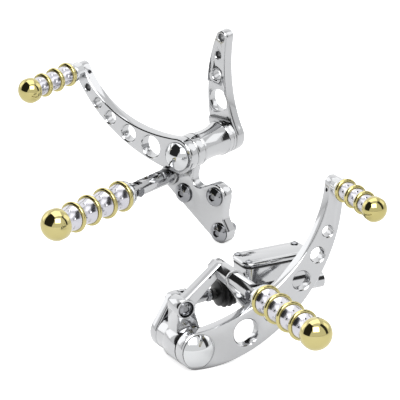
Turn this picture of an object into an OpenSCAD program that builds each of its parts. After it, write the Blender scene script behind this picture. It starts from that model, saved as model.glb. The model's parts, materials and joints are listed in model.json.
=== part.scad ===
// Pair of motorcycle forward controls: a shift side and a brake side.
// Each side is drawn around its own pivot, with x inward from the lever's
// outer face, y forward and z up, and is then put in its place.

/* [Foot pegs] */
// Diameter of the foot peg rings and end cap
foot_ring_d = 32; // [28:0.5:38]
// Distance from one foot peg ring to the next
foot_pitch = 24.5; // [20:0.5:30]
// Number of grip segments on a foot peg
foot_grips = 4; // [3:1:5]
// Diameter of a foot peg grip at its waist
foot_waist_d = 24; // [21:0.5:26]
// From the lever's outer face out to the first foot peg ring
foot_first_ring = 65; // [62:0.5:75]
// From the lever's outer face out to the fold pin
foot_pin_out = 44; // [40:0.5:46]

/* [Toe pegs] */
// Diameter of the toe peg rings and end cap
toe_ring_d = 24.5; // [22:0.5:28]
// Distance from one toe peg ring to the next
toe_pitch = 18.7; // [15:0.1:24]
// Number of grip segments on a toe peg
toe_grips = 3; // [2:1:4]
// Diameter of a toe peg grip at its waist
toe_waist_d = 18.5; // [16:0.5:20]
// From the lever's outer face out to the first toe peg ring
toe_first_ring = 18; // [16:0.5:26]

/* [Peg details] */
// Width of a ring along its peg
ring_w = 4.8; // [3.5:0.1:5.4]
// Number of dimples round each grip segment
dimples = 8; // [6:1:10]
// Diameter of a dimple at the surface
dimple_d = 4.4; // [3:0.1:5]
// Diameter of the rod that carries the grips
core_d = 12; // [8:0.5:13]
// Thickness of the folding tongue
tongue_t = 8; // [6:0.5:9]
// Diameter of the fold pin
fold_pin_d = 6; // [5:0.5:7]

/* [Levers] */
// Thickness of both levers and of the arms
lever_t = 12; // [10:0.5:14]
// Width of the bright chamfer round levers, arms and brackets
edge_c = 1; // [0.5:0.1:1.4]
// Radius of the toe lever's hub
shift_hub_r = 18; // [16.5:0.5:20]
// Radius of the brake pedal's hub
brake_hub_r = 19.5; // [18:0.5:21]
// Radius of the hubs of the inner arms
arm_hub_r = 17; // [16:0.5:18]
// Forward reach of the toe lever
shift_reach = 126; // [115:1:135]
// Height of the toe lever's tip over its pivot
shift_rise = 62; // [55:1:70]
// Forward reach of the brake pedal
brake_reach = 152.7; // [145:0.1:160]
// Height of the brake pedal's tip over its pivot
brake_rise = 145.5; // [138:0.5:152]
// Height of the rod hole in the linkage arm over the pivot
arm_rise = 103; // [95:1:110]
// Diameter of the rod hole in the linkage arm
rod_hole_d = 8; // [6:0.5:9]
// Depth of the milled pocket in the linkage arm
pocket_depth = 3; // [1:0.5:5]

/* [Pivots] */
// Diameter of the pivot shafts
shaft_d = 16; // [14:0.5:17]
// Outside diameter of the pivot bushes
bush_d = 21; // [19.5:0.5:22]
// Length of a pivot bush
bush_l = 14; // [8:0.5:16]
// Thickness of a thrust washer
washer_t = 0.7; // [0.5:0.1:1.5]
// Length of the shift side's pivot tube behind its bracket
shift_tube_l = 48; // [40:1:60]
// Length of the brake side's pivot tube behind its clamp
brake_tube_l = 18; // [14:1:24]
// Diameter of the shift side's dome cap
shift_cap_d = 29; // [26:0.5:31]
// Diameter of the brake side's dome cap
brake_cap_d = 34.5; // [31:0.5:36]
// Height of the dome caps
cap_h = 9; // [7:0.5:12]

/* [Brackets] */
// Thickness of the shift side's bracket plate
plate_t = 12; // [10:0.5:14]
// Length of the brake side's clamp along its tube
clamp_l = 25; // [23:0.5:30]
// Thickness of the brake side's strut and leg
strut_t = 13; // [10:0.5:14]
// Diameter of the bracket bolts
bolt_d = 10; // [8:0.5:10.5]
// Diameter of the round bolt heads
bolt_head_d = 19; // [16.5:0.5:20]
// Length of bolt that stands out behind the brackets
bolt_out = 9; // [6:1:30]
// Width across the flats of the peg mounts
mount_af = 15; // [14:0.5:16]

/* [Master cylinder] */
// Diameter of the cylinder body
cylinder_d = 26; // [24:0.5:28]
// Diameter of the cylinder bore
bore_d = 15; // [12.7:0.1:16]
// Length of the reservoir
reservoir_l = 74; // [64:1:84]
// Width of the reservoir
reservoir_w = 34; // [31:1:42]
// Depth of the reservoir under its lid
reservoir_h = 16; // [14:1:22]
// Wall of the reservoir
reservoir_wall = 3.5; // [2.5:0.5:5]
// Thickness of the lid
lid_t = 5; // [4:0.5:8]
// Diameter of the pushrod
pushrod_d = 8; // [6:0.5:8.5]
// Largest diameter of the rubber boot
boot_d = 30; // [26:0.5:31]
// Number of folds in the rubber boot
boot_folds = 4; // [3:1:5]

/* [Hidden] */

// Clearances
run = 0.05;      // radial play of a shaft in its bore
seat = 0.02;     // play of a part pressed or screwed into another
bolt_gap = 0.25; // radial play of a bolt in its hole
hub_step = 0.8;   // how far the face round a tube lies below the mounting face
gap = 0.3;       // between faces of parts that move past each other

round_fn = 72;
hole_fn = 48;
small_fn = 32;

// Stations along the pivot, from the lever's outer face inward
bracket_x = lever_t + gap + washer_t;
shift_plate_back = bracket_x + plate_t;
shift_tube_end = shift_plate_back + shift_tube_l;
shift_arm_x = shift_tube_end + washer_t + gap;
clamp_back = bracket_x + clamp_l;
brake_tube_end = clamp_back + brake_tube_l;
brake_arm_x = brake_tube_end + washer_t + gap;

// Places on the shift side, as [forward, up] from the pivot
shift_toe = [shift_reach, shift_rise];
shift_foot = [19.2, -27.4];
shift_bolts = [[2.3, -42.8], [-37.2, -37.4], [-42.8, -74.1]];
shift_origin = (shift_bolts[0] + shift_bolts[1] + shift_bolts[2]) / 3;

// Places on the brake side
brake_toe = [brake_reach, brake_rise];
brake_foot = [39.5, 68];
boss_at = [-4, 38];
leg_screws = [[66, 38], [80, 21]];
clevis_at = [9, 29];

// The brake side stands apart from the shift side, turned the other way
brake_place = [-266, -242.5, -65.5];
brake_turn = 247.3;

// Sizes that follow from those above
core_r = core_d / 2;
bolt_r = bolt_d / 2;
spigot_r = 5;
head_t = 5.5;
shaft_hex_r = 7.2;
stud_r = 5;
mount_r = mount_af / 2;
cylinder_x = brake_arm_x + lever_t / 2;
cylinder_y0 = 76;
cylinder_l = 84;
reservoir_y0 = 78;
reservoir_z0 = 38;
lid_screw_inset = 5.5;

// Curves: a cubic through its four control values, and its direction
function curve(p, t) = pow(1 - t, 3) * p[0] + 3 * pow(1 - t, 2) * t * p[1]
    + 3 * (1 - t) * t * t * p[2] + pow(t, 3) * p[3];
function slope(p, t) = 3 * (1 - t) * (1 - t) * (p[1] - p[0]) + 6 * (1 - t) * t * (p[2] - p[1])
    + 3 * t * t * (p[3] - p[2]);
function heading(v) = atan2(v[1], v[0]);
function polar(r, a) = r * [cos(a), sin(a)];
function arc(c, r, a0, a1, n = 12) = [for (i = [0:n]) c + polar(r, a0 + (a1 - a0) * i / n)];

// Outline of a curved lever: round hub, tapering blade and round tip
function blade(line, half, n = 24, m = 18) =
    let (a0 = heading(line[1] - line[0]), a1 = heading(line[3] - line[2]))
    concat(
        [for (i = [0:n]) let (t = i / n) curve(line, t) + polar(curve(half, t), heading(slope(line, t)) - 90)],
        [for (k = [1:m - 1]) line[3] + polar(half[3], a1 - 90 + 180 * k / m)],
        [for (i = [n:-1:0]) let (t = i / n) curve(line, t) + polar(curve(half, t), heading(slope(line, t)) + 90)],
        [for (k = [1:m - 1]) line[0] + polar(half[0], a0 + 90 + 180 * k / m)]);

// Outline of a straight link round two circles
function link(c1, r1, c2, r2, n = 10) =
    let (d = c2 - c1, a = heading(d), b = acos((r1 - r2) / norm(d)))
    concat(arc(c1, r1, a + b, a + 360 - b, n), arc(c2, r2, a - b, a + b, n));

// Outline of a box with round corners
function round_box(c, w, l, r, n = 6) = concat(
    arc(c + [w / 2 - r, l / 2 - r], r, 0, 90, n), arc(c + [r - w / 2, l / 2 - r], r, 90, 180, n),
    arc(c + [r - w / 2, r - l / 2], r, 180, 270, n), arc(c + [w / 2 - r, r - l / 2], r, 270, 360, n));

// Outline of an octagon bar
function octagon(af) = let (r = af / 2 / cos(22.5)) [for (i = [0:7]) polar(r, 22.5 + 45 * i)];

// The same outline drawn in by c all round
function side_normal(a, b) = let (d = (b - a) / norm(b - a)) [-d[1], d[0]];
function inset(pts, c) = let (n = len(pts)) [for (i = [0:n - 1])
    let (n1 = side_normal(pts[(i + n - 1) % n], pts[i]), n2 = side_normal(pts[i], pts[(i + 1) % n]))
    pts[i] + c * (n1 + n2) / (1 + n1 * n2)];
function at_height(pts, z) = [for (p = pts) [p[0], p[1], z]];

// A ring of wedges that cuts the chamfer off a plate's edge; up is 1 at its foot and -1 at its top
module edge_wedge(pts, z, up, c) {
    n = len(pts);
    past = 0.5;
    inner = inset(pts, c + past);
    outer = inset(pts, -past);
    foot_z = z - up * past;
    rows = [0:2];
    polyhedron(
        points = concat(at_height(inner, foot_z), at_height(outer, z + up * (c + past)), at_height(outer, foot_z)),
        faces = [for (k = rows) for (i = [0:n - 1])
            let (j = (i + 1) % n, k1 = (k + 1) % 3, quad = [k * n + i, k * n + j, k1 * n + j, k1 * n + i])
            up > 0 ? quad : [quad[3], quad[2], quad[1], quad[0]]]);
}

// A plate with a chamfer round both faces, standing on z = 0
module chamfered(pts, t, c = edge_c) difference() {
    linear_extrude(t) polygon(pts);
    edge_wedge(pts, 0, 1, c);
    edge_wedge(pts, t, -1, c);
}

// Frames: a plan of [forward, up] stood across the pivot, and rods along each way
module across(x) translate([x, 0, 0]) rotate([90, 0, 90]) children();
module rod(x0, x1, r, at = [0, 0], fn = hole_fn)
    translate([x0, at[0], at[1]]) rotate([0, 90, 0]) cylinder(h = x1 - x0, r = r, $fn = fn);
module outward(at) translate([0, at[0], at[1]]) rotate([0, -90, 0]) children();
module forward(x, y, z) translate([x, y, z]) rotate([-90, 0, 0]) children();

// A hole through a plate, with a chamfer at both mouths
module drilled(at, d, x0, x1, c = edge_c) {
    r = d / 2;
    past = 1;
    l = c + 2 * past;
    rod(x0 - past, x1 + past, r, at);
    translate([x0 - past, at[0], at[1]]) rotate([0, 90, 0])
        cylinder(h = l, r1 = r + c + past, r2 = r - past, $fn = hole_fn);
    translate([x1 - c - past, at[0], at[1]]) rotate([0, 90, 0])
        cylinder(h = l, r1 = r - past, r2 = r + c + past, $fn = hole_fn);
}

// Part of a ball over a round foot of radius r, h high
module dome(r, h) {
    ball = (r * r + h * h) / 2 / h;
    intersection() {
        translate([0, 0, h - ball]) sphere(r = ball, $fn = round_fn);
        cylinder(h = h + 1, r = r + 1, $fn = round_fn);
    }
}

// Hexagon socket screw with a round button head; its head stands on z = 0
module button_screw(r, l, head_r, h, key_r) {
    difference() {
        union() {
            cylinder(h = h * 0.35, r = head_r, $fn = round_fn);
            translate([0, 0, h * 0.35]) dome(head_r - 0.15, h * 0.65);
            translate([0, 0, -l]) cylinder(h = l + h * 0.2, r = r, $fn = hole_fn);
        }
        translate([0, 0, h * 0.45]) cylinder(h = h, r = key_r, $fn = 6);
    }
}

module tube_of(x0, x1, r_out, r_in, fn = round_fn)
    difference() {
        rod(x0, x1, r_out, fn = fn);
        rod(x0 - 1, x1 + 1, r_in, fn = fn);
    }

// Pegs, drawn outward along z from the lever's outer face
module peg_ring(s, d) {
    r = d / 2;
    difference() {
        union() {
            translate([0, 0, s - ring_w / 2]) cylinder(h = ring_w, r = r - ring_w / 2, $fn = round_fn);
            translate([0, 0, s]) rotate_extrude($fn = round_fn)
                translate([r - ring_w / 2, 0]) circle(r = ring_w / 2, $fn = small_fn);
        }
        translate([0, 0, s - ring_w]) cylinder(h = 2 * ring_w, r = core_r + seat, $fn = hole_fn);
    }
}

// Spool between two rings: waisted, with a row of ball-end dimples
ring_stand = 2.5;
module peg_grip(s, pitch, ring_d, waist_d) {
    l = pitch - ring_w - 2 * seat;
    end_r = ring_d / 2 - ring_stand;
    waist_r = waist_d / 2;
    depth = dimple_d / 4;
    ball = (dimple_d * dimple_d / 4 + depth * depth) / 2 / depth;
    steps = 12;
    translate([0, 0, s + ring_w / 2 + seat]) difference() {
        rotate_extrude($fn = round_fn) polygon(concat(
            [for (i = [0:steps]) let (q = 2 * i / steps - 1)
                [waist_r + (end_r - waist_r) * q * q, l * i / steps]],
            [[core_r + seat, l], [core_r + seat, 0]]));
        for (k = [0:dimples - 1]) rotate([0, 0, 360 * (k + 0.5) / dimples])
            translate([waist_r - depth + ball, 0, l / 2]) sphere(r = ball, $fn = small_fn);
    }
}

// Cap: a short skirt as wide as the rings and a nearly half-round dome
module peg_cap(s, d, h) {
    r = d / 2 + 0.3;
    skirt = ring_w + h * 0.18;
    difference() {
        union() {
            translate([0, 0, s - ring_w / 2]) cylinder(h = skirt, r = r, $fn = round_fn);
            translate([0, 0, s - ring_w / 2 + skirt]) dome(r, h);
        }
        translate([0, 0, s - ring_w]) cylinder(h = ring_w + h * 0.5, r = core_r + seat, $fn = hole_fn);
    }
}

foot_last = foot_first_ring + foot_grips * foot_pitch;
foot_cap_h = 13;
toe_last = toe_first_ring + toe_grips * toe_pitch;
toe_cap_h = 9;

// Folding foot peg: tongue on the pin, octagon block, collar and rod
tongue_r = 6.5;
block_s = foot_pin_out + 9.5;
collar_s = foot_first_ring - ring_w / 2 - 5;
module foot_core() {
    block_r = foot_waist_d / 2 - 0.6;
    difference() {
        union() {
            translate([-tongue_r, -tongue_t / 2, foot_pin_out])
                cube([2 * tongue_r, tongue_t, block_s - foot_pin_out + 1]);
            translate([0, tongue_t / 2, foot_pin_out]) rotate([90, 0, 0])
                cylinder(h = tongue_t, r = tongue_r, $fn = hole_fn);
            translate([0, 0, block_s]) linear_extrude(collar_s - block_s + 0.5)
                polygon(octagon(2 * block_r));
            translate([0, 0, collar_s]) cylinder(h = foot_first_ring - ring_w / 2 - seat - collar_s,
                r = foot_ring_d / 2 - 2, $fn = round_fn);
            translate([0, 0, collar_s]) cylinder(h = foot_last - collar_s + ring_w / 2, r = core_r, $fn = hole_fn);
        }
        translate([0, tongue_t, foot_pin_out]) rotate([90, 0, 0])
            cylinder(h = 2 * tongue_t, r = fold_pin_d / 2 + run, $fn = hole_fn);
    }
}

// Peg mount: octagon bar with a clevis at its outer end; x_in is where it meets its bracket
cheek_r = mount_r + 0.3;
pin_head_r = fold_pin_d / 2 + 1.6;
pin_head_t = 2;
module foot_mount(x_in) {
    slot_s = foot_pin_out - tongue_r - 1.2;
    difference() {
        union() {
            intersection() {
                translate([0, 0, -x_in]) linear_extrude(x_in + block_s - gap) polygon(octagon(mount_af));
                union() {
                    translate([-mount_af, -mount_af, -x_in]) cube([2 * mount_af, 2 * mount_af, x_in + foot_pin_out]);
                    translate([0, mount_af, foot_pin_out]) rotate([90, 0, 0])
                        cylinder(h = 2 * mount_af, r = cheek_r, $fn = round_fn);
                    translate([-mount_af, -mount_af, foot_pin_out - 1])
                        cube([mount_af, 2 * mount_af, block_s - foot_pin_out + 1]);
                }
            }
            translate([0, 0, -x_in]) cylinder(h = 2.5, r = mount_r + 2.2, $fn = round_fn);
        }
        translate([-mount_af, -tongue_t / 2 - gap, slot_s]) cube([2 * mount_af, tongue_t + 2 * gap, mount_af * 2]);
        translate([0, mount_af, foot_pin_out]) rotate([90, 0, 0])
            cylinder(h = 2 * mount_af, r = fold_pin_d / 2 + seat, $fn = hole_fn);
        translate([0, 0, -x_in - 1]) cylinder(h = peg_bolt_in + 1.5, r = bolt_r + seat, $fn = hole_fn);
    }
}

// Fold pin: head at the rear, peened washer at the front
module fold_pin() translate([0, 0, foot_pin_out]) rotate([90, 0, 0]) {
    translate([0, 0, -mount_r - seat]) cylinder(h = mount_af + 2 * seat, r = fold_pin_d / 2, $fn = hole_fn);
    translate([0, 0, mount_r + seat]) cylinder(h = pin_head_t, r = pin_head_r, $fn = hole_fn);
    translate([0, 0, -mount_r - seat - 1.2]) cylinder(h = 1.2, r = pin_head_r - 0.6, $fn = hole_fn);
}

// Socket screw that holds a peg mount from the frame side of its bracket
peg_bolt_in = 22;
peg_head_r = bolt_r + 3;
peg_head_h = 6.5;
module foot_bolt(x_back, x_in) difference() {
    union() {
        rod(x_back - peg_head_h - 0.2, x_back - 0.2, peg_head_r);
        rod(x_in - peg_bolt_in, x_back - peg_head_h, bolt_r);
    }
    rod(x_back - 4, x_back + 1, 4.6, fn = 6);
}
module foot_bolt_hole(at, x_back, x_in) {
    rod(x_back - peg_head_h - 0.2, x_back + 1, peg_head_r + bolt_gap, at);
    rod(x_in - 1, x_back, bolt_r + bolt_gap, at);
}

// Toe peg: spigot with a locking groove, shoulder and rod
lock_r = 2;
lock_back = 6;
groove_r = lock_back - lock_r - 0.2;
module toe_core() {
    shoulder_r = toe_waist_d / 2 - 1.2;
    collar_l = 5;
    front = toe_first_ring - ring_w / 2 - seat;
    difference() {
        union() {
            translate([0, 0, -lever_t]) cylinder(h = lever_t + 1, r = spigot_r, $fn = hole_fn);
            cylinder(h = front - collar_l + 0.5, r = shoulder_r, $fn = round_fn);
            translate([0, 0, front - collar_l]) cylinder(h = collar_l, r = toe_ring_d / 2 - 1.8, $fn = round_fn);
            translate([0, 0, front - 1]) cylinder(h = toe_last + ring_w / 2 - front + 1, r = core_r, $fn = hole_fn);
        }
        translate([0, 0, -lever_t / 2 - lock_r - 0.3]) difference() {
            cylinder(h = 2 * lock_r + 0.6, r = spigot_r + 1, $fn = hole_fn);
            translate([0, 0, -1]) cylinder(h = 2 * lock_r + 3, r = groove_r, $fn = hole_fn);
        }
    }
}

// Lock screw across a lever's tip, at right angles to the blade; tip_dir is the blade's heading
module lock_place(tip, tip_dir) {
    foot = tip + polar(-lock_back, tip_dir);
    translate([lever_t / 2, foot[0], foot[1]]) rotate([tip_dir, 0, 0]) children();
}

// Pieces that both sides share
key_gap = 0.03;
module lever_bore(x0) {
    rod(x0 - 1, x0 + lever_t + 1, shaft_hex_r + key_gap, fn = 6);
}
module lock_hole(tip, line) lock_place(tip, heading(line[3] - line[2]))
    translate([0, 0, -spigot_r]) cylinder(h = 3 * spigot_r, r = lock_r + seat, $fn = small_fn);
module lock_screw(tip, line, half) lock_place(tip, heading(line[3] - line[2])) difference() {
    top = half[3] - 0.6;
    translate([0, 0, -spigot_r + 0.5]) cylinder(h = top + spigot_r - 0.5, r = lock_r, $fn = small_fn);
    translate([0, 0, top - 2]) cylinder(h = 3, r = lock_r * 0.55, $fn = 6);
}

// Shaft: threaded nose, hexagon seat, journal, hexagon seat with a tapped end
shaft_nose = 5;
shaft_tap_l = 16;
screw_r = 4;
module pivot_shaft(arm_x) difference() {
    union() {
        rod(-shaft_nose, 1, stud_r);
        rod(0.2, lever_t + 1, shaft_hex_r, fn = 6);
        rod(lever_t, arm_x - 0.05, shaft_d / 2);
        rod(arm_x - 1, arm_x + lever_t - 0.2, shaft_hex_r, fn = 6);
    }
    rod(arm_x + lever_t - shaft_tap_l - 1, arm_x + lever_t + 1, screw_r + seat);
}
module dome_cap(d) difference() {
    outward([0, 0]) translate([0, 0, 0.05]) {
        cylinder(h = 1.2, r = d / 2, $fn = round_fn);
        translate([0, 0, 1.2]) dome(d / 2, cap_h - 1.2);
    }
    rod(-shaft_nose - 0.5, 1, stud_r + seat);
}
module arm_screw(arm_x) translate([arm_x + lever_t + 0.02, 0, 0]) rotate([0, 90, 0]) {
    cylinder(h = 1.5, r = shaft_d / 2 + 3, $fn = round_fn);
    translate([0, 0, 1.5]) button_screw(screw_r, shaft_tap_l, shaft_d / 2, 4, 3.2);
}
module bushes(tube_end) {
    tube_of(bracket_x + 0.2, bracket_x + 0.2 + bush_l, bush_d / 2, shaft_d / 2 + run);
    tube_of(tube_end - 0.2 - bush_l, tube_end - 0.2, bush_d / 2, shaft_d / 2 + run);
}
module washers(tube_end) {
    tube_of(bracket_x - washer_t, bracket_x, arm_hub_r - 2, shaft_d / 2 + gap);
    tube_of(tube_end, tube_end + washer_t, arm_hub_r - 2, shaft_d / 2 + gap);
}

// Shift side
tube_fit_r = bush_d / 2 + 2.6;
foot_lobe_r = 13;
shift_outline = concat(
    arc([0, 0], arm_hub_r, -25, 232, 40),
    arc([-16.5, -24.5], 8.2, 20, -120, 20),
    arc(shift_bolts[1], 13, 62, 192, 20),
    arc([-63, -55.5], 16, 12, -22, 7),
    arc(shift_bolts[2], 11.3, 160, 304.5, 20),
    arc(shift_foot, foot_lobe_r, 304.5, 370, 12));

module shift_bracket() color("gainsboro") difference() {
    translate([bracket_x, 0, 0]) rotate([90, 0, 90]) chamfered(shift_outline, plate_t);
    rod(bracket_x - 1, shift_plate_back + 1, tube_fit_r + seat, fn = round_fn);
    rod(shift_plate_back - hub_step, shift_plate_back + 1, arm_hub_r + hub_step, fn = round_fn);
    for (b = shift_bolts) drilled(b, bolt_d + 2 * bolt_gap, bracket_x, shift_plate_back, 0.6);
    foot_bolt_hole(shift_foot, shift_plate_back, bracket_x);
}
module shift_bracket_bolts() color("silver") for (b = shift_bolts)
    translate([bracket_x - seat, b[0], b[1]]) rotate([0, -90, 0])
        button_screw(bolt_r, plate_t + bolt_out, bolt_head_d / 2, head_t, 4);

// Turned tube: waisted between two round bands, with a spigot in the bracket
module shift_pivot_tube() color("gainsboro") difference() {
    x0 = shift_plate_back - hub_step + seat;
    waist_r = arm_hub_r - 2.2;
    band = 9;
    l = shift_tube_end - x0;
    steps = 16;
    union() {
        rod(bracket_x, x0 + 1, tube_fit_r, fn = round_fn);
        translate([x0, 0, 0]) rotate([0, 90, 0]) rotate_extrude($fn = round_fn) polygon(concat(
            [[0, 0], [arm_hub_r - 0.6, 0], [arm_hub_r, 0.6], [arm_hub_r, 3]],
            [for (i = [0:steps]) [waist_r + (arm_hub_r - 0.6 - waist_r) * pow(2 * i / steps - 1, 2),
                3.6 + (l - band - 4.2) * i / steps]],
            [[arm_hub_r, l - band], [arm_hub_r, l - 5], [arm_hub_r - 0.5, l - 4.5], [arm_hub_r - 0.5, l - 3.5],
                [arm_hub_r, l - 3], [arm_hub_r, l - 0.5], [arm_hub_r - 0.5, l], [0, l]]));
    }
    rod(bracket_x - 1, shift_tube_end + 1, bush_d / 2 + seat, fn = round_fn);
}
module shift_pivot_bushes() color("goldenrod") bushes(shift_tube_end);
module shift_thrust_washers() color("goldenrod") washers(shift_tube_end);
module shift_pivot_shaft() color("silver") pivot_shaft(shift_arm_x);

// Toe lever: a blade with five holes that shrink towards its tip
shift_line = [[0, 0], [58, -1], [shift_reach - 22, shift_rise - 40], shift_toe];
shift_half = [shift_hub_r, 12.5, 5.5, 6.8];
shift_holes = [[0.205, 22.5], [0.395, 17], [0.575, 13], [0.72, 10], [0.855, 7]];
module shift_toe_lever() color("gainsboro") difference() {
    rotate([90, 0, 90]) chamfered(blade(shift_line, shift_half), lever_t);
    for (h = shift_holes) drilled(curve(shift_line, h[0]), h[1], 0, lever_t);
    lever_bore(0);
    rod(-1, lever_t + 1, spigot_r + seat, shift_toe);
    lock_hole(shift_toe, shift_line);
}
module shift_dome_cap() color("silver") dome_cap(shift_cap_d);

// Linkage arm: upright blade with a milled pocket below a slanting step
arm_line = [[0, 0], [13, 30], [13.5, 70], [4, arm_rise]];
arm_half = [arm_hub_r, 14, 11, 6.8];
arm_holes = [[0.81, 7], [0.61, 11], [0.355, 22.5]];
pocket_rim = 3.4;
pocket_from = 0.13;
pocket_to = 0.5;
module arm_pocket() {
    steps = 8;
    rear = [for (i = [0:steps]) let (t = pocket_from + (pocket_to - pocket_from) * i / steps)
        curve(arm_line, t) + polar(curve(arm_half, t) - pocket_rim, heading(slope(arm_line, t)) + 90)];
    step_end = curve(arm_line, pocket_to);
    linear_extrude(pocket_depth + 1) polygon(concat(rear, [step_end + [2 * arm_hub_r, 7],
        curve(arm_line, pocket_from) + [2 * arm_hub_r, 4]]));
}
module shift_linkage_arm() color("gainsboro") difference() {
    translate([shift_arm_x, 0, 0]) rotate([90, 0, 90]) chamfered(blade(arm_line, arm_half), lever_t);
    translate([shift_arm_x - 1, 0, 0]) rotate([90, 0, 90]) arm_pocket();
    for (h = arm_holes) drilled(curve(arm_line, h[0]), h[1], shift_arm_x, shift_arm_x + lever_t);
    drilled(arm_line[3], rod_hole_d, shift_arm_x, shift_arm_x + lever_t, 0.5);
    lever_bore(shift_arm_x);
}
module shift_arm_screw() color("silver") arm_screw(shift_arm_x);

module shift_toe_peg_core() color("silver") outward(shift_toe) toe_core();
module toe_grip_row() for (k = [0:toe_grips - 1])
    peg_grip(toe_first_ring + k * toe_pitch, toe_pitch, toe_ring_d, toe_waist_d);
module toe_ring_row() for (k = [0:toe_grips - 1]) peg_ring(toe_first_ring + k * toe_pitch, toe_ring_d);
module foot_grip_row() for (k = [0:foot_grips - 1])
    peg_grip(foot_first_ring + k * foot_pitch, foot_pitch, foot_ring_d, foot_waist_d);
module foot_ring_row() for (k = [0:foot_grips - 1]) peg_ring(foot_first_ring + k * foot_pitch, foot_ring_d);

module shift_toe_peg_grips() color("lavender") outward(shift_toe) toe_grip_row();
module shift_toe_peg_rings() color("gold") outward(shift_toe) toe_ring_row();
module shift_toe_peg_cap() color("gold") outward(shift_toe) peg_cap(toe_last, toe_ring_d, toe_cap_h);
module shift_toe_peg_lock_screw() color("dimgray") lock_screw(shift_toe, shift_line, shift_half);
module shift_foot_peg_mount() color("gainsboro") outward(shift_foot) foot_mount(bracket_x);
module shift_foot_peg_bolt() color("silver") translate([0, shift_foot[0], shift_foot[1]])
    foot_bolt(shift_plate_back, bracket_x);
module shift_foot_peg_pin() color("silver") outward(shift_foot) fold_pin();
module shift_foot_peg_core() color("silver") outward(shift_foot) foot_core();
module shift_foot_peg_grips() color("lavender") outward(shift_foot) foot_grip_row();
module shift_foot_peg_rings() color("gold") outward(shift_foot) foot_ring_row();
module shift_foot_peg_cap() color("gold") outward(shift_foot) peg_cap(foot_last, foot_ring_d, foot_cap_h);

// Brake side
block_x0 = 0.5;
block_af = mount_af + 3;
strut_x0 = clamp_back - 5 - strut_t;
boss_r = 9.8;
bolt_sink = 4;
brake_tube_r = 15;
module brake_bracket() color("gainsboro") difference() {
    union() {
        rod(bracket_x, clamp_back, brake_hub_r, fn = round_fn);
        rod(strut_x0 - 2.5, clamp_back, boss_r, boss_at, fn = round_fn);
        across(strut_x0) linear_extrude(clamp_back - strut_x0)
            polygon(link([0, 8], brake_hub_r - 6, boss_at, boss_r - 1));
        across(strut_x0) chamfered(link(boss_at + [1, 2], 6.4, brake_foot + [-3, 5], 4.8), strut_t);
        across(strut_x0) chamfered(link(brake_foot + [2, -2], 7, leg_screws[0] + [2, -3], 10), strut_t);
        across(strut_x0) chamfered(link(leg_screws[0], 8.5, leg_screws[1], 8.5), strut_t);
        across(block_x0) linear_extrude(clamp_back - block_x0) translate(brake_foot) polygon(octagon(block_af));
    }
    rod(bracket_x - 1, clamp_back + 1, brake_tube_r + seat, fn = round_fn);
    rod(clamp_back - hub_step, clamp_back + 1, arm_hub_r, fn = round_fn);
    rod(strut_x0 - 4, clamp_back + 1, bolt_r + bolt_gap, boss_at);
    rod(strut_x0 - 4, strut_x0 - 2.5 + bolt_sink, bolt_r + 3.3, boss_at);
    foot_bolt_hole(brake_foot, clamp_back, block_x0);
    for (p = leg_screws) rod(strut_x0 - 1, strut_x0 + strut_t + 1, leg_screw_r + bolt_gap, p);
}
module brake_bracket_bolts() color("silver")
    translate([strut_x0 - 2.5 + bolt_sink - seat, boss_at[0], boss_at[1]]) rotate([0, -90, 0])
        button_screw(bolt_r, clamp_back - strut_x0 + 2.5 - bolt_sink + bolt_out, bolt_r + 3, 4.5, 3.6);

module brake_pivot_tube() color("gainsboro") difference() {
    union() {
        rod(bracket_x, clamp_back + 1, brake_tube_r, fn = round_fn);
        rod(clamp_back - hub_step + seat, brake_tube_end, arm_hub_r - 0.5, fn = round_fn);
    }
    rod(bracket_x - 1, brake_tube_end + 1, bush_d / 2 + seat, fn = round_fn);
    grease_place() translate([0, 0, -3]) cylinder(h = 12, r = nipple_r + seat, $fn = small_fn);
}
nipple_r = 2.5;
module grease_place() translate([clamp_back + 8, 0, 0]) rotate([160, 0, 0])
    translate([0, 0, bush_d / 2 + 1.5]) children();
module brake_grease_nipple() color("silver") grease_place() {
    cylinder(h = arm_hub_r - bush_d / 2 - 1, r = nipple_r, $fn = small_fn);
    translate([0, 0, arm_hub_r - bush_d / 2 - 2]) cylinder(h = 1.6, r = nipple_r + 0.8, $fn = 6);
    translate([0, 0, arm_hub_r - bush_d / 2 - 0.6]) dome(nipple_r, 1.6);
}
module brake_pivot_bushes() color("goldenrod") bushes(brake_tube_end);
module brake_thrust_washers() color("goldenrod") washers(brake_tube_end);
module brake_pivot_shaft() color("silver") pivot_shaft(brake_arm_x);

// Brake pedal: a long blade that curves up, with five holes
brake_line = [[0, 0], [70, -2], [brake_reach - 2.7, brake_rise - 85], brake_toe];
brake_half = [brake_hub_r, 25, 13, 7.4];
brake_holes = [[0.25, 27], [0.405, 23.5], [0.575, 19.5], [0.7, 15.5], [0.805, 11.5]];
module brake_pedal() color("gainsboro") difference() {
    rotate([90, 0, 90]) chamfered(blade(brake_line, brake_half, 28), lever_t);
    for (h = brake_holes) drilled(curve(brake_line, h[0]), h[1], 0, lever_t);
    lever_bore(0);
    rod(-1, lever_t + 1, spigot_r + seat, brake_toe);
    lock_hole(brake_toe, brake_line);
}
module brake_dome_cap() color("silver") dome_cap(brake_cap_d);

clevis_pin_r = 4;
arm_end_r = 10;
module brake_inner_arm() color("gainsboro") difference() {
    translate([brake_arm_x, 0, 0]) rotate([90, 0, 90])
        chamfered(link([0, 0], arm_hub_r, clevis_at, arm_end_r, 16), lever_t);
    lever_bore(brake_arm_x);
    rod(brake_arm_x - 1, brake_arm_x + lever_t + 1, clevis_pin_r + run, clevis_at);
}
module brake_arm_screw() color("silver") arm_screw(brake_arm_x);

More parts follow.
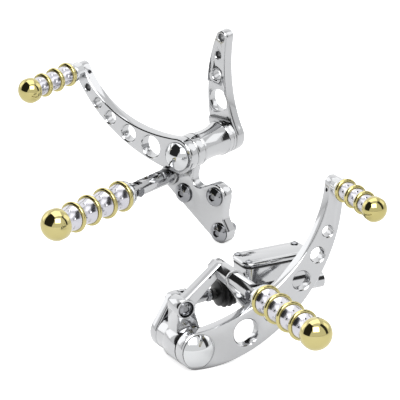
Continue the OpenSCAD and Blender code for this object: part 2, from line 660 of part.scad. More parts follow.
module brake_toe_peg_core() color("silver") outward(brake_toe) toe_core();
module brake_toe_peg_grips() color("lavender") outward(brake_toe) toe_grip_row();
module brake_toe_peg_rings() color("gold") outward(brake_toe) toe_ring_row();
module brake_toe_peg_cap() color("gold") outward(brake_toe) peg_cap(toe_last, toe_ring_d, toe_cap_h);
module brake_toe_peg_lock_screw() color("dimgray") lock_screw(brake_toe, brake_line, brake_half);
module brake_foot_peg_mount() color("gainsboro") outward(brake_foot) foot_mount(block_x0);
module brake_foot_peg_bolt() color("silver") translate([0, brake_foot[0], brake_foot[1]])
    foot_bolt(clamp_back, block_x0);
module brake_foot_peg_pin() color("silver") outward(brake_foot) fold_pin();
module brake_foot_peg_core() color("silver") outward(brake_foot) foot_core();
module brake_foot_peg_grips() color("lavender") outward(brake_foot) foot_grip_row();
module brake_foot_peg_rings() color("gold") outward(brake_foot) foot_ring_row();
module brake_foot_peg_cap() color("gold") outward(brake_foot) peg_cap(foot_last, foot_ring_d, foot_cap_h);

// Pushrod
pushrod_r = pushrod_d / 2;
cheek_t = 4.5;
fork_r = 7;
fork_l = 15;
neck_l = 17;
neck_y = clevis_at[0] + fork_l;
rod_z = clevis_at[1];
piston_y = 82;
module pushrod_clevis() color("gainsboro") difference() {
    union() {
        for (side = [-1, 1]) {
            x0 = cylinder_x + side * (lever_t / 2 + gap + cheek_t / 2);
            rod(x0 - cheek_t / 2, x0 + cheek_t / 2, fork_r, clevis_at);
            translate([x0 - cheek_t / 2, clevis_at[0], rod_z - fork_r]) cube([cheek_t, fork_l, 2 * fork_r]);
        }
        w = lever_t + 2 * gap + 2 * cheek_t;
        translate([cylinder_x - w / 2, neck_y - 3, rod_z - fork_r]) cube([w, 4, 2 * fork_r]);
        forward(cylinder_x, neck_y + 1, rod_z) cylinder(h = neck_l, r1 = fork_r, r2 = pushrod_r + 1.6, $fn = 6);
    }
    rod(brake_arm_x - 2 * cheek_t, brake_arm_x + lever_t + 2 * cheek_t, clevis_pin_r + seat, clevis_at);
    forward(cylinder_x, neck_y + 3, rod_z) cylinder(h = neck_l, r = pushrod_r + seat, $fn = hole_fn);
}
module pushrod_clevis_pin() color("silver") {
    x0 = brake_arm_x - gap - cheek_t - seat;
    x1 = brake_arm_x + lever_t + gap + cheek_t + seat;
    rod(x0, x1, clevis_pin_r, clevis_at);
    rod(x0 - 1.8, x0, clevis_pin_r + 1.6, clevis_at);
    rod(x1, x1 + 1.2, clevis_pin_r + 1, clevis_at);
}
module pushrod_lock_nut() color("silver")
    forward(cylinder_x, neck_y + 1 + neck_l + seat, rod_z) difference() {
        cylinder(h = 4, r = pushrod_r + 2.6, $fn = 6);
        translate([0, 0, -1]) cylinder(h = 6, r = pushrod_r + seat, $fn = hole_fn);
    }
module pushrod() color("silver") {
    y0 = neck_y + 4;
    forward(cylinder_x, y0, rod_z) cylinder(h = piston_y - gap - pushrod_r - y0, r = pushrod_r, $fn = hole_fn);
    translate([cylinder_x, piston_y - gap - pushrod_r, rod_z]) sphere(r = pushrod_r, $fn = hole_fn);
}

// Rubber boot: a small neck on the rod, round folds and a wide collar over the cylinder's nose
boot_y1 = 71.5;
nose_r = cylinder_d / 2 - 3;
nose_y0 = 69.5;
boot_wall = 1.3;
boot_neck_y = 47;
boot_play = 0.8;
fold_depth = 1.6;
module pushrod_boot() color("#202022") forward(cylinder_x, 0, rod_z) rotate_extrude($fn = round_fn) {
    r_big = boot_d / 2;
    r_small = pushrod_r + 2.2;
    fold_y0 = boot_neck_y + 4;
    fold_y1 = nose_y0 - 8.5;
    collar_r = nose_r + boot_play + boot_wall + 0.5;
    steps = 6 * boot_folds;
    outer = [for (i = [0:steps]) let (q = i / steps)
        [r_small + (r_big - fold_depth - r_small) * sin(90 * min(1, 3 * q))
            + fold_depth * sin(360 * boot_folds * q - 90),
            fold_y0 + (fold_y1 - fold_y0) * q]];
    inner = [for (i = [steps:-1:0]) [max(outer[i][0] - boot_wall, pushrod_r + 0.5), outer[i][1]]];
    polygon(concat([[pushrod_r + seat, boot_neck_y], [r_small, boot_neck_y]], outer,
        [[collar_r, fold_y1 + 1], [collar_r, boot_y1],
            [nose_r + boot_play, boot_y1], [nose_r + boot_play, fold_y1 + 1]], inner,
        [[pushrod_r + seat, fold_y0]]));
}

// Master cylinder
leg_screw_r = 3;
foot_l = 16;
foot_h = 22;
lug_x0 = strut_x0 + strut_t;
reservoir_c = [cylinder_x, reservoir_y0 + reservoir_l / 2];
corner_r = 9;
gasket_t = 1.5;
port_z = rod_z - 6;
port_l = 10;
port_thread_r = 5;
body_y0 = 81;
body_y1 = cylinder_y0 + cylinder_l;
lid_screws = [for (a = [-1, 1], b = [-1, 1])
    reservoir_c + [a * (reservoir_w / 2 - lid_screw_inset), b * (reservoir_l / 2 - lid_screw_inset)]];
module master_cylinder() color("gainsboro") difference() {
    union() {
        forward(cylinder_x, nose_y0, rod_z) cylinder(h = body_y0 - nose_y0 + 1, r = nose_r, $fn = round_fn);
        forward(cylinder_x, body_y0, rod_z) cylinder(h = body_y1 - body_y0, r = cylinder_d / 2, $fn = round_fn);
        forward(cylinder_x, body_y1 - 1, port_z) cylinder(h = port_l + 1, r = port_thread_r + 3, $fn = round_fn);
        translate([0, 0, reservoir_z0]) linear_extrude(reservoir_h)
            polygon(round_box(reservoir_c, reservoir_w, reservoir_l, corner_r));
        across(lug_x0) linear_extrude(cylinder_x - boot_d / 2 - 2 * gap - lug_x0)
            polygon(link(leg_screws[0], 7.5, leg_screws[1], 8));
        translate([lug_x0, body_y0, rod_z - foot_h / 2])
            cube([cylinder_x - lug_x0 - cylinder_d / 3, foot_l, foot_h]);
    }
    forward(cylinder_x, nose_y0 - 1, rod_z) cylinder(h = body_y1 - nose_y0 - 11, r = bore_d / 2, $fn = hole_fn);
    forward(cylinder_x, body_y1 - port_l, port_z) cylinder(h = 3 * port_l, r = port_thread_r, $fn = hole_fn);
    translate([0, 0, reservoir_z0 + reservoir_wall + 3]) linear_extrude(reservoir_h) difference() {
        polygon(round_box(reservoir_c, reservoir_w - 2 * reservoir_wall, reservoir_l - 2 * reservoir_wall,
            corner_r - reservoir_wall));
        for (p = lid_screws) translate(p) circle(r = lid_post_r, $fn = small_fn);
    }
    for (p = lid_screws) translate([p[0], p[1], reservoir_z0 + reservoir_h - 9])
        cylinder(h = 12, r = lid_screw_r + seat, $fn = small_fn);
    for (p = leg_screws) rod(lug_x0 - 1, lug_x0 + 13, leg_screw_r + seat, p);
}
module master_piston() color("goldenrod") difference() {
    forward(cylinder_x, piston_y, rod_z) difference() {
        cylinder(h = 30, r = bore_d / 2 - run, $fn = hole_fn);
        translate([0, 0, 5]) difference() {
            cylinder(h = 17, r = bore_d, $fn = hole_fn);
            translate([0, 0, -1]) cylinder(h = 19, r = bore_d / 2 - 2, $fn = hole_fn);
        }
    }
    translate([cylinder_x, piston_y - gap - pushrod_r, rod_z]) sphere(r = pushrod_r + gap, $fn = hole_fn);
}
lid_screw_r = 2;
lid_post_r = 5;
module master_cylinder_screws() color("silver") for (p = leg_screws)
    translate([strut_x0 - seat, p[0], p[1]]) rotate([0, -90, 0])
        button_screw(leg_screw_r, strut_t + 11, 5.5, 4, 2.2);
lid_z = reservoir_z0 + reservoir_h + gasket_t;
module reservoir_gasket() color("#303030") translate([0, 0, lid_z - gasket_t]) linear_extrude(gasket_t)
    difference() {
        polygon(round_box(reservoir_c, reservoir_w, reservoir_l, corner_r));
        difference() {
            polygon(round_box(reservoir_c, reservoir_w - 2 * reservoir_wall, reservoir_l - 2 * reservoir_wall,
                corner_r - reservoir_wall));
            for (p = lid_screws) translate(p) circle(r = lid_post_r, $fn = small_fn);
        }
        for (p = lid_screws) translate(p) circle(r = lid_screw_r + bolt_gap, $fn = small_fn);
    }
module reservoir_lid() color("gainsboro") difference() {
    translate([0, 0, lid_z])
        chamfered(round_box(reservoir_c, reservoir_w + 2, reservoir_l + 2, corner_r + 1), lid_t, 1.5);
    for (p = lid_screws) translate([p[0], p[1], lid_z - 1])
        cylinder(h = 2 * lid_t, r = lid_screw_r + bolt_gap, $fn = small_fn);
}
module reservoir_lid_screws() color("silver") for (p = lid_screws)
    translate([p[0], p[1], lid_z + lid_t + seat]) button_screw(lid_screw_r, lid_t + gasket_t + 6, 3.6, 1.7, 1.2);

// Places of the two sides
module shift_side() translate([-shift_plate_back, -shift_origin[0], -shift_origin[1]]) children();
module brake_side() shift_side() translate(brake_place) rotate([0, 0, brake_turn]) mirror([1, 0, 0]) children();

shift_side() shift_bracket();
shift_side() shift_bracket_bolts();
shift_side() shift_pivot_tube();
shift_side() shift_pivot_bushes();
shift_side() shift_thrust_washers();
shift_side() shift_pivot_shaft();
shift_side() shift_toe_lever();
shift_side() shift_dome_cap();
shift_side() shift_linkage_arm();
shift_side() shift_arm_screw();
shift_side() shift_toe_peg_core();
shift_side() shift_toe_peg_grips();
shift_side() shift_toe_peg_rings();
shift_side() shift_toe_peg_cap();
shift_side() shift_toe_peg_lock_screw();
shift_side() shift_foot_peg_mount();
shift_side() shift_foot_peg_bolt();
shift_side() shift_foot_peg_pin();
shift_side() shift_foot_peg_core();
shift_side() shift_foot_peg_grips();
shift_side() shift_foot_peg_rings();
shift_side() shift_foot_peg_cap();
brake_side() brake_bracket();
brake_side() brake_bracket_bolts();
brake_side() brake_pivot_tube();
brake_side() brake_pivot_bushes();
brake_side() brake_thrust_washers();
brake_side() brake_pivot_shaft();
brake_side() brake_pedal();
brake_side() brake_dome_cap();
brake_side() brake_inner_arm();
brake_side() brake_arm_screw();
brake_side() brake_toe_peg_core();
brake_side() brake_toe_peg_grips();
brake_side() brake_toe_peg_rings();
brake_side() brake_toe_peg_cap();
brake_side() brake_toe_peg_lock_screw();
brake_side() brake_foot_peg_mount();
brake_side() brake_foot_peg_bolt();
brake_side() brake_foot_peg_pin();
brake_side() brake_foot_peg_core();
brake_side() brake_foot_peg_grips();
brake_side() brake_foot_peg_rings();
brake_side() brake_foot_peg_cap();
brake_side() brake_grease_nipple();
brake_side() pushrod_clevis();
brake_side() pushrod_clevis_pin();
brake_side() pushrod_lock_nut();
brake_side() pushrod();
brake_side() pushrod_boot();
brake_side() master_cylinder();
brake_side() master_piston();
brake_side() master_cylinder_screws();
brake_side() reservoir_gasket();
brake_side() reservoir_lid();
brake_side() reservoir_lid_screws();
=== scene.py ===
import json
import math

import bpy
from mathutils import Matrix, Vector


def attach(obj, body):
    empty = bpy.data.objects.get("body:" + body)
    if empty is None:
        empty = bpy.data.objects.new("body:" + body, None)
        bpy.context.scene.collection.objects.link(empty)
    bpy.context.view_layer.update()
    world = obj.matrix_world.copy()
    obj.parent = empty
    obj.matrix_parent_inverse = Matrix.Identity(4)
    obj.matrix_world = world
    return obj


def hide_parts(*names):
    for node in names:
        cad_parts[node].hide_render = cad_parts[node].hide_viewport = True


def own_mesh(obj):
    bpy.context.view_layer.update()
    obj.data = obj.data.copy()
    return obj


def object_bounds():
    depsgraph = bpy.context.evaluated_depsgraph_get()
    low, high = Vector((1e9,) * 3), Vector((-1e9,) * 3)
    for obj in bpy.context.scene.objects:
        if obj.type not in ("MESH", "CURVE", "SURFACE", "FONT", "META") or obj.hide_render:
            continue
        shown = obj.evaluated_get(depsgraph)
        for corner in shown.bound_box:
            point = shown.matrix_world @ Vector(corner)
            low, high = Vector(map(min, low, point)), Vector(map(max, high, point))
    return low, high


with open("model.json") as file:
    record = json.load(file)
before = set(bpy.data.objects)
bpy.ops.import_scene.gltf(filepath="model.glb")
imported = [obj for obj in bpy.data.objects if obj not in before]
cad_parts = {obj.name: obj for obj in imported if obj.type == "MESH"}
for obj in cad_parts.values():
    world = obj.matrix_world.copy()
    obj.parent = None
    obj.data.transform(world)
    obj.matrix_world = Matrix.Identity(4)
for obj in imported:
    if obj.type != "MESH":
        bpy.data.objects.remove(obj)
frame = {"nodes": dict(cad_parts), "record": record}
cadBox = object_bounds()
nodes = frame["nodes"]
print("stage: frame loaded,", len(nodes), "CAD nodes")

# Camera: the photograph looks forward and inward, and a little down, through a very long lens
cameraValues = {"lens": 1500.0, "sensor": 36.0, "frameWidth": 0.392, "elevation": 21.0, "clip": (0.5, 120.0),
                "across": (0.777, 0.629), "middle": (-0.0228, -0.0013, 0.0113), "nearer": 0.156}


def makeCamera(v):
    tilt = math.radians(v["elevation"])
    look = Vector((v["across"][0] * math.cos(tilt), v["across"][1] * math.cos(tilt), -math.sin(tilt)))
    distance = v["frameWidth"] * v["lens"] / v["sensor"] + v["nearer"]
    bpy.ops.object.camera_add(location=Vector(v["middle"]) - look * distance)
    camera = bpy.context.object
    camera.name = "photoCamera"
    camera.rotation_euler = look.to_track_quat("-Z", "Y").to_euler()
    camera.data.lens = v["lens"]
    camera.data.sensor_width = v["sensor"]
    camera.data.clip_start, camera.data.clip_end = v["clip"]
    bpy.context.scene.camera = camera
    return look


def deselectAll():
    if bpy.context.object and bpy.context.object.mode != "OBJECT":
        bpy.ops.object.mode_set(mode="OBJECT")
    bpy.ops.object.select_all(action="DESELECT")


deselectAll()
lookWay = makeCamera(cameraValues)
rightWay = lookWay.cross(Vector((0, 0, 1))).normalized()
aim = Vector(cameraValues["middle"])
bpy.context.scene.view_settings.view_transform = "Standard"
print("stage: camera placed")


# Node helpers
def addNode(tree, kind, place, **settings):
    node = tree.nodes.new(kind)
    node.location = place
    for name, value in settings.items():
        setattr(node, name, value)
    return node


def setInputs(node, values):
    for label, value in values.items():
        node.inputs[label].default_value = value


def newMaterial(name):
    material = bpy.data.materials.new(name)
    material.use_nodes = True
    shader = material.node_tree.nodes["Principled BSDF"]
    shader.location = (300, 0)
    material.node_tree.nodes["Material Output"].location = (620, 0)
    return material, material.node_tree, shader


def newGroup(name, inputs, outputs):
    group = bpy.data.node_groups.new(name, "ShaderNodeTree")
    for label, kind, value in inputs:
        socket = group.interface.new_socket(label, in_out="INPUT", socket_type=kind)
        if value is not None:
            socket.default_value = value
    for label, kind in outputs:
        group.interface.new_socket(label, in_out="OUTPUT", socket_type=kind)
    inner = addNode(group, "NodeGroupInput", (-900, 0))
    outer = addNode(group, "NodeGroupOutput", (900, 0))
    return group, inner, outer


# Polishing marks: fine hairlines one way, soft smudges, and a slow wave of tone
markValues = {"hairlineScale": 900.0, "hairlineDetail": 2.0, "stretch": 0.06,
              "smudgeScale": 45.0, "smudgeDetail": 5.0, "smudgeRoughness": 0.62,
              "smudgeFrom": 0.45, "smudgeTo": 0.75, "toneScale": 11.0, "toneDetail": 1.0}


def makePolishGroup(v):
    group, inner, outer = newGroup(
        "polishMarks",
        [("Vector", "NodeSocketVector", None), ("Hairline Scale", "NodeSocketFloat", v["hairlineScale"]),
         ("Stretch", "NodeSocketFloat", v["stretch"]), ("Smudge Scale", "NodeSocketFloat", v["smudgeScale"])],
        [("Hairlines", "NodeSocketFloat"), ("Smudges", "NodeSocketFloat"), ("Tone", "NodeSocketFloat")])
    links = group.links
    spread = addNode(group, "ShaderNodeCombineXYZ", (-700, 200))
    setInputs(spread, {"X": 1.0, "Y": 1.0})
    links.new(inner.outputs["Stretch"], spread.inputs["Z"])
    squeezed = addNode(group, "ShaderNodeVectorMath", (-500, 200), operation="MULTIPLY")
    links.new(inner.outputs["Vector"], squeezed.inputs[0])
    links.new(spread.outputs["Vector"], squeezed.inputs[1])
    hairlines = addNode(group, "ShaderNodeTexNoise", (-300, 200))
    setInputs(hairlines, {"Detail": v["hairlineDetail"]})
    links.new(squeezed.outputs["Vector"], hairlines.inputs["Vector"])
    links.new(inner.outputs["Hairline Scale"], hairlines.inputs["Scale"])
    smudges = addNode(group, "ShaderNodeTexNoise", (-300, -60))
    setInputs(smudges, {"Detail": v["smudgeDetail"], "Roughness": v["smudgeRoughness"]})
    links.new(inner.outputs["Vector"], smudges.inputs["Vector"])
    links.new(inner.outputs["Smudge Scale"], smudges.inputs["Scale"])
    picked = addNode(group, "ShaderNodeMapRange", (0, -60))
    setInputs(picked, {"From Min": v["smudgeFrom"], "From Max": v["smudgeTo"]})
    links.new(smudges.outputs["Fac"], picked.inputs["Value"])
    tone = addNode(group, "ShaderNodeTexNoise", (-300, -320))
    setInputs(tone, {"Scale": v["toneScale"], "Detail": v["toneDetail"]})
    links.new(inner.outputs["Vector"], tone.inputs["Vector"])
    links.new(hairlines.outputs["Fac"], outer.inputs["Hairlines"])
    links.new(picked.outputs["Result"], outer.inputs["Smudges"])
    links.new(tone.outputs["Fac"], outer.inputs["Tone"])
    return group


# Edge wear and painted highlight: where the mesh turns sharply the finish is a touch brighter, in broken
# patches
edgeValues = {"breakup": 160.0, "from": 0.51, "to": 0.60}


def makeEdgeGroup(v):
    group, inner, outer = newGroup(
        "edgeShine",
        [("Vector", "NodeSocketVector", None), ("Breakup", "NodeSocketFloat", v["breakup"])],
        [("Edge", "NodeSocketFloat")])
    links = group.links
    shape = addNode(group, "ShaderNodeNewGeometry", (-600, 150))
    sharp = addNode(group, "ShaderNodeMapRange", (-350, 150))
    setInputs(sharp, {"From Min": v["from"], "From Max": v["to"]})
    links.new(shape.outputs["Pointiness"], sharp.inputs["Value"])
    broken = addNode(group, "ShaderNodeTexNoise", (-600, -120))
    links.new(inner.outputs["Vector"], broken.inputs["Vector"])
    links.new(inner.outputs["Breakup"], broken.inputs["Scale"])
    mixed = addNode(group, "ShaderNodeMath", (-100, 40), operation="MULTIPLY")
    links.new(sharp.outputs["Result"], mixed.inputs[0])
    links.new(broken.outputs["Fac"], mixed.inputs[1])
    links.new(mixed.outputs["Value"], outer.inputs["Edge"])
    return group


# Hollows: painted shade; bores, grooves and joints see less of the room, so their base colour is made darker
hollowValues = {"reach": 0.008, "samples": 8, "from": 0.25, "to": 0.85, "darkest": 0.16}


def makeHollowGroup(v):
    group, inner, outer = newGroup(
        "hollowShade", [("Reach", "NodeSocketFloat", v["reach"])], [("Open", "NodeSocketFloat")])
    links = group.links
    opening = addNode(group, "ShaderNodeAmbientOcclusion", (-500, 0), samples=v["samples"])
    links.new(inner.outputs["Reach"], opening.inputs["Distance"])
    picked = addNode(group, "ShaderNodeMapRange", (-200, 0))
    setInputs(picked, {"From Min": v["from"], "From Max": v["to"], "To Min": v["darkest"]})
    links.new(opening.outputs["AO"], picked.inputs["Value"])
    links.new(picked.outputs["Result"], outer.inputs["Open"])
    return group


polishMarks = makePolishGroup(markValues)
edgeShine = makeEdgeGroup(edgeValues)
hollowShade = makeHollowGroup(hollowValues)

# Metals: two tones, roughness from smooth to smudged, and how strong the hairlines are
metalValues = {
    "polished_aluminium": {"name": "polishedAluminium", "dark": (0.45, 0.455, 0.465),
                           "light": (0.53, 0.535, 0.545), "smooth": 0.08, "smudged": 0.17, "hairline": 0.02},
    "chrome": {"name": "chrome", "dark": (0.55, 0.56, 0.57),
               "light": (0.63, 0.64, 0.65), "smooth": 0.03, "smudged": 0.08, "hairline": 0.01},
    "satin_silver": {"name": "satinSilver", "dark": (0.50, 0.495, 0.54),
                     "light": (0.61, 0.605, 0.65), "smooth": 0.15, "smudged": 0.26, "hairline": 0.05},
    "gold": {"name": "goldPlate", "dark": (0.45, 0.395, 0.155),
             "light": (0.57, 0.505, 0.24), "smooth": 0.04, "smudged": 0.10, "hairline": 0.01},
    "bright_steel": {"name": "brightSteel", "dark": (0.24, 0.245, 0.26),
                     "light": (0.34, 0.345, 0.36), "smooth": 0.07, "smudged": 0.16, "hairline": 0.02},
    "dark_steel": {"name": "darkSteel", "dark": (0.045, 0.045, 0.05),
                   "light": (0.09, 0.09, 0.10), "smooth": 0.22, "smudged": 0.4, "hairline": 0.02},
    "bronze": {"name": "bronze", "dark": (0.46, 0.27, 0.12),
               "light": (0.60, 0.38, 0.18), "smooth": 0.2, "smudged": 0.35, "hairline": 0.02},
    "anodised_bronze": {"name": "anodisedBronze", "dark": (0.35, 0.22, 0.10),
                        "light": (0.48, 0.31, 0.15), "smooth": 0.22, "smudged": 0.36, "hairline": 0.02},
}
# shine is partly edge wear and partly a painted highlight on sharp edges; hairlineDepth is the bump depth of
# the polish marks
wearAndSheenValues = {"shine": 0.06, "hairlineDepth": 0.0001}


def makeMetal(v, wearAndSheen):
    material, tree, shader = newMaterial(v["name"])
    links = tree.links
    place = addNode(tree, "ShaderNodeTexCoord", (-1000, 0))
    marks = addNode(tree, "ShaderNodeGroup", (-760, 60), node_tree=polishMarks)
    edges = addNode(tree, "ShaderNodeGroup", (-760, -260), node_tree=edgeShine)
    links.new(place.outputs["Object"], marks.inputs["Vector"])
    links.new(place.outputs["Object"], edges.inputs["Vector"])
    tones = addNode(tree, "ShaderNodeMix", (-420, 200), data_type="RGBA")
    setInputs(tones, {6: (*v["dark"], 1), 7: (*v["light"], 1)})
    links.new(marks.outputs["Tone"], tones.inputs[0])
    # Edge wear and painted highlight: sharp edges are screened a touch brighter in the base colour
    wornAndHighlit = addNode(tree, "ShaderNodeMix", (-180, 160), data_type="RGBA", blend_type="SCREEN")
    setInputs(wornAndHighlit, {7: (wearAndSheen["shine"], wearAndSheen["shine"], wearAndSheen["shine"], 1)})
    links.new(edges.outputs["Edge"], wornAndHighlit.inputs[0])
    links.new(tones.outputs[2], wornAndHighlit.inputs[6])
    # Painted shade: ambient occlusion scales the base colour down in bores, grooves and joints
    hollow = addNode(tree, "ShaderNodeGroup", (-180, 420), node_tree=hollowShade)
    shaded = addNode(tree, "ShaderNodeVectorMath", (60, 260), operation="SCALE")
    links.new(wornAndHighlit.outputs[2], shaded.inputs[0])
    links.new(hollow.outputs["Open"], shaded.inputs["Scale"])
    links.new(shaded.outputs["Vector"], shader.inputs["Base Color"])
    rough = addNode(tree, "ShaderNodeMapRange", (-420, -60))
    setInputs(rough, {"To Min": v["smooth"], "To Max": v["smudged"]})
    links.new(marks.outputs["Smudges"], rough.inputs["Value"])
    links.new(rough.outputs["Result"], shader.inputs["Roughness"])
    bump = addNode(tree, "ShaderNodeBump", (-180, -320))
    setInputs(bump, {"Strength": v["hairline"], "Distance": wearAndSheen["hairlineDepth"]})
    links.new(marks.outputs["Hairlines"], bump.inputs["Height"])
    links.new(bump.outputs["Normal"], shader.inputs["Normal"])
    setInputs(shader, {"Metallic": 1.0})
    return material


# Moulded rubber: nearly black, unevenly dusty, with a fine grain
rubberValues = {"name": "blackRubber", "dark": (0.003, 0.003, 0.0035), "light": (0.012, 0.0115, 0.0115),
                "dustScale": 130.0, "dustDetail": 6.0, "grainScale": 1800.0, "grainStrength": 0.25,
                "grainDepth": 0.0002, "roughness": 0.42}


def makeRubber(v):
    material, tree, shader = newMaterial(v["name"])
    links = tree.links
    place = addNode(tree, "ShaderNodeTexCoord", (-900, 0))
    dust = addNode(tree, "ShaderNodeTexNoise", (-680, 160))
    setInputs(dust, {"Scale": v["dustScale"], "Detail": v["dustDetail"]})
    links.new(place.outputs["Object"], dust.inputs["Vector"])
    tint = addNode(tree, "ShaderNodeMix", (-420, 160), data_type="RGBA")
    setInputs(tint, {6: (*v["dark"], 1), 7: (*v["light"], 1)})
    links.new(dust.outputs["Fac"], tint.inputs[0])
    links.new(tint.outputs[2], shader.inputs["Base Color"])
    grain = addNode(tree, "ShaderNodeTexNoise", (-680, -160))
    setInputs(grain, {"Scale": v["grainScale"]})
    links.new(place.outputs["Object"], grain.inputs["Vector"])
    bump = addNode(tree, "ShaderNodeBump", (-420, -160))
    setInputs(bump, {"Strength": v["grainStrength"], "Distance": v["grainDepth"]})
    links.new(grain.outputs["Fac"], bump.inputs["Height"])
    links.new(bump.outputs["Normal"], shader.inputs["Normal"])
    setInputs(shader, {"Roughness": v["roughness"]})
    return material


finishes = {slot: makeMetal(v, wearAndSheenValues) for slot, v in metalValues.items()}
finishes["black_rubber"] = makeRubber(rubberValues)
print("stage: finishes made")

slotOf = {part["node"]: part["material_slot"] for part in frame["record"]["subparts"]}
for name, node in nodes.items():
    node.data.materials.clear()
    node.data.materials.append(finishes[slotOf[name]])

# Studio: a pale floor, a white room, soft lamps, and dark cards that only reflections see
floorValues = {"size": 14.0, "drop": 0.0004, "tone": 0.86, "roughness": 0.9,
               "cameraGlow": 0.76, "metalGlow": 0.28}
roomValues = {"grey": 0.78, "strength": 0.55}


def makeFloor(v):
    deselectAll()
    bpy.ops.mesh.primitive_plane_add(size=v["size"], location=(0, 0, cadBox[0][2] - v["drop"]))
    floor = bpy.context.object
    floor.name = "studioFloor"
    material, tree, shader = newMaterial("floorPaper")
    links = tree.links
    setInputs(shader, {"Base Color": (v["tone"], v["tone"], v["tone"], 1),
                       "Roughness": v["roughness"], "Specular IOR Level": 0.0})
    glow = addNode(tree, "ShaderNodeEmission", (300, -300))
    seen = addNode(tree, "ShaderNodeLightPath", (-500, -300))
    toCamera = addNode(tree, "ShaderNodeMath", (-260, -220), operation="MULTIPLY")
    setInputs(toCamera, {1: v["cameraGlow"]})
    toMetal = addNode(tree, "ShaderNodeMath", (-260, -400), operation="MULTIPLY")
    setInputs(toMetal, {1: v["metalGlow"]})
    eyes = addNode(tree, "ShaderNodeMath", (0, -300), operation="ADD")
    links.new(seen.outputs["Is Camera Ray"], toCamera.inputs[0])
    links.new(seen.outputs["Is Glossy Ray"], toMetal.inputs[0])
    links.new(toCamera.outputs["Value"], eyes.inputs[0])
    links.new(toMetal.outputs["Value"], eyes.inputs[1])
    links.new(eyes.outputs["Value"], glow.inputs["Strength"])
    both = addNode(tree, "ShaderNodeAddShader", (520, -200))
    links.new(shader.outputs["BSDF"], both.inputs[0])
    links.new(glow.outputs["Emission"], both.inputs[1])
    links.new(both.outputs["Shader"], tree.nodes["Material Output"].inputs["Surface"])
    floor.data.materials.append(material)


def makeRoom(v):
    world = bpy.data.worlds.new("studioRoom")
    world.use_nodes = True
    bpy.context.scene.world = world
    tree = world.node_tree
    links = tree.links
    plain = tree.nodes["Background"]
    setInputs(plain, {"Color": (v["grey"], v["grey"], v["grey"], 1), "Strength": v["strength"]})
    white = addNode(tree, "ShaderNodeBackground", (0, -200))
    setInputs(white, {"Color": (1, 1, 1, 1)})
    seen = addNode(tree, "ShaderNodeLightPath", (-500, 200))
    eyes = addNode(tree, "ShaderNodeMath", (-250, 200), operation="MAXIMUM")
    links.new(seen.outputs["Is Camera Ray"], eyes.inputs[0])
    links.new(seen.outputs["Is Glossy Ray"], eyes.inputs[1])
    mix = addNode(tree, "ShaderNodeMixShader", (250, 0))
    links.new(eyes.outputs["Value"], mix.inputs[0])
    links.new(plain.outputs["Background"], mix.inputs[1])
    links.new(white.outputs["Background"], mix.inputs[2])
    links.new(mix.outputs["Shader"], tree.nodes["World Output"].inputs["Surface"])


# Places round the object: degrees from the camera's side toward its right, then height and distance
def around(turn, height, distance):
    a = math.radians(turn)
    flat = Vector((-lookWay.x, -lookWay.y, 0)).normalized()
    side = Vector((rightWay.x, rightWay.y, 0)).normalized()
    way = flat * math.cos(a) + side * math.sin(a)
    up = math.radians(height)
    return aim + way * (distance * math.cos(up)) + Vector((0, 0, distance * math.sin(up)))


def aimed(thing, place):
    thing.location = place
    thing.rotation_euler = (aim - Vector(place)).to_track_quat("-Z", "Y").to_euler()


lampValues = {
    "topLamp": {"turn": 200, "height": 78, "distance": 1.7, "size": (1.6, 1.6), "power": 11},
    "backLamp": {"turn": 180, "height": 24, "distance": 3.6, "size": (5.0, 2.6), "power": 14},
    "frontLamp": {"turn": 6, "height": 44, "distance": 3.2, "size": (2.1, 1.8), "power": 56},
    "leftLamp": {"turn": -124, "height": 20, "distance": 3.6, "size": (1.6, 2.0), "power": 9},
    "rightLamp": {"turn": 112, "height": 30, "distance": 3.6, "size": (1.6, 2.0), "power": 8},
}


def addLamp(name, v):
    deselectAll()
    place = around(v["turn"], v["height"], v["distance"])
    bpy.ops.object.light_add(type="AREA", location=place)
    lamp = bpy.context.object
    lamp.name = name
    lamp.data.shape = "RECTANGLE"
    lamp.data.size, lamp.data.size_y = v["size"]
    lamp.data.energy = v["power"]
    lamp.visible_camera = False
    aimed(lamp, place)


# A card faces the object, fades at its rim and shows in reflections alone; grey is how bright it looks
cardValues = {
    "leftCard": {"turn": -66, "height": 34, "distance": 4.0, "size": (5.8, 5.8), "grey": 0.03, "rim": 0.05},
    "rightCard": {"turn": 80, "height": 32, "distance": 4.0, "size": (1.7, 5.2), "grey": 0.05, "rim": 0.1},
}


